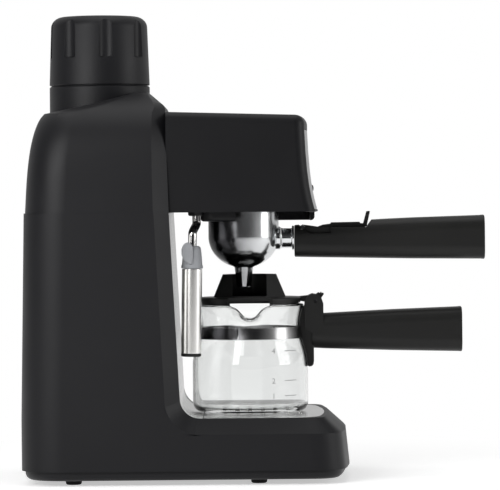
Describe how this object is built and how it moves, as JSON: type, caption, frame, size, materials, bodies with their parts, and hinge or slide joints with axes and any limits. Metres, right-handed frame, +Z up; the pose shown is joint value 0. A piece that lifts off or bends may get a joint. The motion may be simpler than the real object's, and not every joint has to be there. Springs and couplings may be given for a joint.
{
  "type": "espresso machine",
  "caption": "Steam espresso maker with a C-shaped housing, screw-capped boiler tower, overhanging brew head, filter holder, glass carafe and steam wand.",
  "frame": {"origin": "on the table under the middle of the whole machine's box: the symmetry plane of the housing, midway between the rear wall and the tip of the filter holder's handle", "axes": "+Z up; -Y is the front, where both handles point; +X is the user's right hand, the side of the selector knob"},
  "size_m": [0.19, 0.33, 0.3312],
  "materials": {
    "black_housing": "satin moulded plastic with a fine grain",
    "black_head": "satin moulded plastic, slightly darker",
    "black_handle": "moulded heat-resistant plastic, soft sheen",
    "silver_panel": "silver lacquer, satin",
    "bright_steel": "bright rolled stainless sheet",
    "chrome": "polished",
    "cast_aluminium": "polished casting",
    "brass": "machined",
    "grey_silicone": "matte silicone",
    "black_rubber": "matte",
    "red_silicone": "matte silicone",
    "clear_glass": "clear heat-resistant glass",
    "red_lens": "translucent",
    "white_plastic": "moulded"
  },
  "bodies": {
    "housing": {"lower_housing": "black_housing", "upper_housing": "black_housing", "head_housing": "black_head", "head_floor": "black_head", "front_panel": "silver_panel", "back_liner": "bright_steel", "drip_tray": "black_housing", "drip_grid": "bright_steel", "bottom_pan": "black_housing", "foot_front_left": "black_rubber", "foot_front_right": "black_rubber", "foot_rear_left": "black_rubber", "foot_rear_right": "black_rubber", "base_screw_1": "bright_steel", "base_screw_2": "bright_steel", "base_screw_3": "bright_steel", "base_screw_4": "bright_steel", "cord_gland": "black_rubber", "terminal_block": "white_plastic", "mains_lead": "black_rubber", "heater_lead": "black_rubber", "boiler": "cast_aluminium", "neck_gasket": "red_silicone", "boiler_strap": "bright_steel", "heating_element": "bright_steel", "thermostat": "white_plastic", "thermal_fuse": "white_plastic", "indicator_lens": "red_lens", "indicator_lamp": "white_plastic", "group_head": "cast_aluminium", "group_gasket": "black_rubber", "group_screen": "bright_steel", "screen_screw": "bright_steel", "valve_body": "brass", "microswitch": "white_plastic", "outlet_pipe": "bright_steel", "steam_pipe": "bright_steel", "wand_bushing": "black_housing"},
    "cap_carriage": {"cap_gasket": "red_silicone"},
    "cap": {"cap_shell": "black_housing", "cap_core": "cast_aluminium", "relief_valve": "brass"},
    "selector": {"selector_knob": "black_handle", "valve_spindle": "bright_steel"},
    "wand": {"steam_wand": "chrome"},
    "frother": {"froth_grip": "grey_silicone", "froth_sleeve": "chrome"},
    "portafilter": {"filter_bowl": "cast_aluminium", "filter_basket": "bright_steel", "handle_ferrule": "cast_aluminium", "portafilter_handle": "black_handle", "retainer_pin": "bright_steel"},
    "retainer": {"filter_retainer": "black_handle"},
    "carafe": {"carafe_glass": "clear_glass", "carafe_band": "bright_steel", "carafe_handle": "black_handle", "lid_pin": "bright_steel"},
    "lid": {"carafe_lid": "black_handle"}
  },
  "joints": [
    {"name": "cap_rise", "type": "slide", "parent": "housing", "child": "cap_carriage", "axis": [0, 0, 1], "range_m": [0, 0.006]},
    {"name": "cap_turn", "type": "hinge", "parent": "cap_carriage", "child": "cap", "pos_m": [0, 0.1105, 0.281], "axis": [0, 0, 1], "range_deg": [0, 540]},
    {"name": "selector_turn", "type": "hinge", "parent": "housing", "child": "selector", "pos_m": [0.0823, 0.008, 0.226], "axis": [1, 0, 0], "range_deg": [-60, 60]},
    {"name": "wand_swing", "type": "hinge", "parent": "housing", "child": "wand", "pos_m": [-0.048, 0.041, 0.19], "axis": [0, 0, 1], "range_deg": [0, 80]},
    {"name": "frother_pull", "type": "slide", "parent": "wand", "child": "frother", "axis": [0, 0.0209, -0.9998], "range_m": [0, 0.03]},
    {"name": "portafilter_turn", "type": "hinge", "parent": "housing", "child": "portafilter", "pos_m": [0, 0.008, 0.19], "axis": [0, 0, 1], "range_deg": [-45, 0]},
    {"name": "retainer_flip", "type": "hinge", "parent": "portafilter", "child": "retainer", "pos_m": [0, -0.0345, 0.178], "axis": [-1, 0, 0], "range_deg": [0, 32]},
    {"name": "carafe_slide", "type": "slide", "parent": "housing", "child": "carafe", "axis": [1, 0, 0], "range_m": [0, 0.15]},
    {"name": "lid_open", "type": "hinge", "parent": "carafe", "child": "lid", "pos_m": [0, -0.0432, 0.125], "axis": [1, 0, 0], "range_deg": [0, 5]}
  ],
  "couplings": [
    {"joint": "cap_rise", "follows": "cap_turn", "m_per_rad": 0.00063662}
  ]
}
